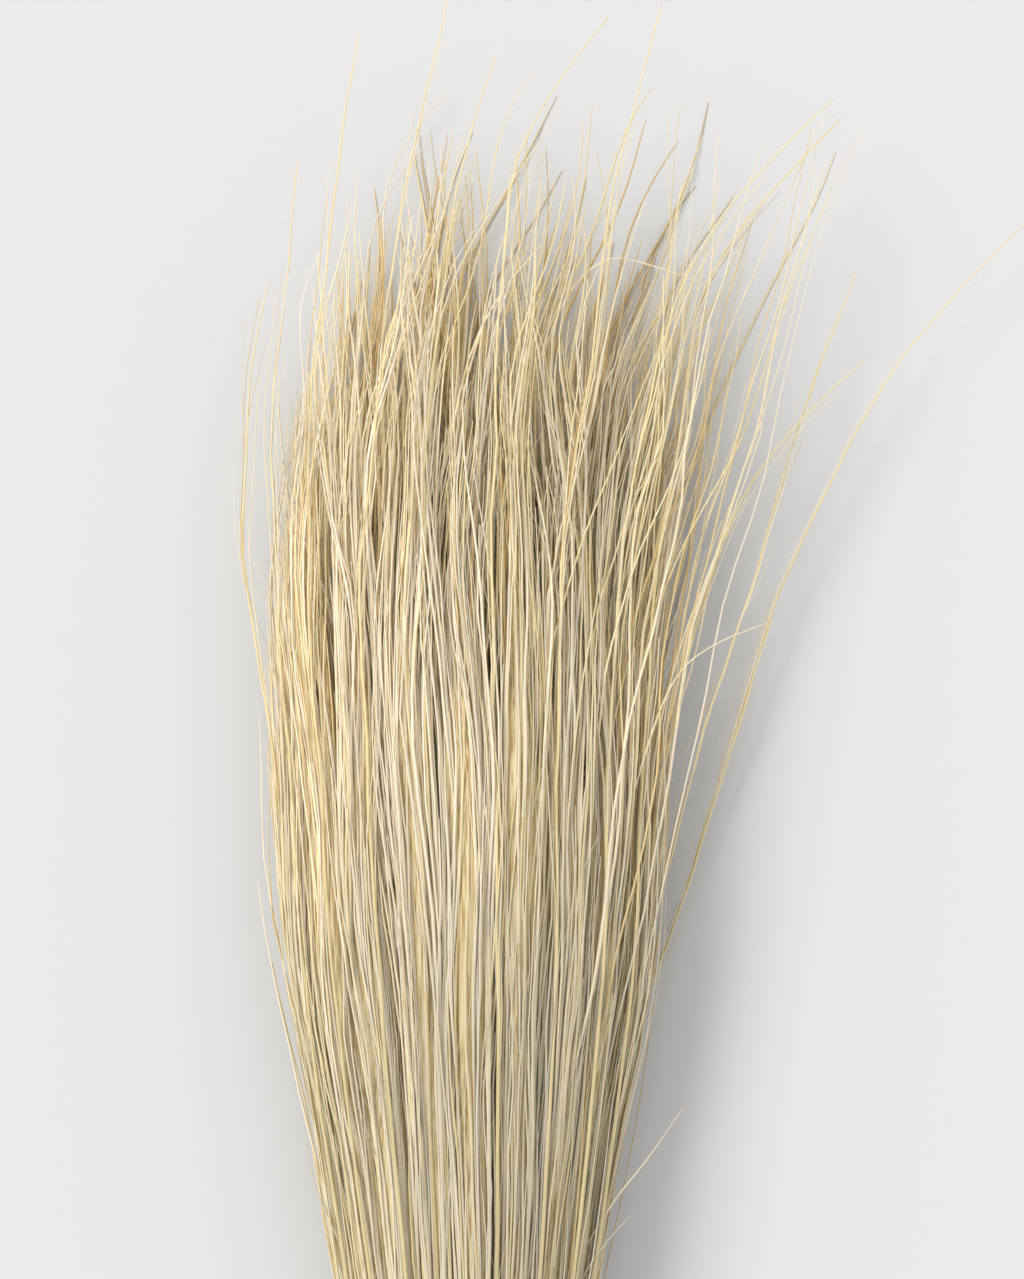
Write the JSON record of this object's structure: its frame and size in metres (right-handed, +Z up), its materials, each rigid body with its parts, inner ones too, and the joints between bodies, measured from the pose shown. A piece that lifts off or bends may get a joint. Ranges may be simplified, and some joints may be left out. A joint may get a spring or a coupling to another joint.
{
  "type": "bunch of dried ornamental grass",
  "caption": "Cut bunch of dried straw-coloured ornamental grass, tied with twine near the stalk ends, fanning out into wispy tips, lying flat on its side.",
  "frame": {"origin": "on the surface that the bunch lies on, below the middle of its bounding box", "axes": "+Y along the stalks from their cut ends to their tips, +Z up off the surface, +X to the right when seen from above with the tips away"},
  "size_m": [0.235, 0.634, 0.0522],
  "materials": {
    "straw": "dry, faintly glossy stalk skin",
    "pale_straw": "dry, faintly glossy stalk skin",
    "shaded_straw": "dry, matt stalk skin",
    "jute": "twisted, hairy, matt"
  },
  "bodies": {
    "root": {"tuft_01": "pale_straw", "tuft_02": "straw", "tuft_03": "shaded_straw", "tuft_04": "straw", "tuft_05": "pale_straw", "tuft_06": "straw", "tuft_07": "shaded_straw", "tuft_08": "straw", "tuft_09": "pale_straw", "tuft_10": "straw", "tuft_11": "shaded_straw", "tuft_12": "straw", "tuft_13": "pale_straw", "tuft_14": "straw", "tuft_15": "shaded_straw", "tuft_16": "straw", "tuft_17": "pale_straw", "tuft_18": "straw", "tuft_19": "shaded_straw", "tuft_20": "straw", "tuft_21": "pale_straw", "tuft_22": "straw", "tuft_23": "shaded_straw", "tuft_24": "straw", "tuft_25": "pale_straw", "tuft_26": "straw", "tuft_27": "shaded_straw", "tuft_28": "straw", "tuft_29": "pale_straw", "tuft_30": "straw", "tuft_31": "shaded_straw", "tuft_32": "straw", "tuft_33": "pale_straw", "tuft_34": "straw", "tuft_35": "shaded_straw", "tuft_36": "straw", "tuft_37": "pale_straw", "loose_longest_right": "straw", "loose_forked_right": "straw", "loose_grey_right": "straw", "loose_upper_right": "straw", "loose_arched_right": "straw", "loose_tall_right": "straw", "loose_tall_wavy": "straw", "loose_tall_middle": "straw", "loose_tallest": "straw", "loose_tall_left": "straw", "loose_left_rim": "straw", "loose_left_low": "straw", "twine_tie": "jute"}
  },
  "joints": []
}
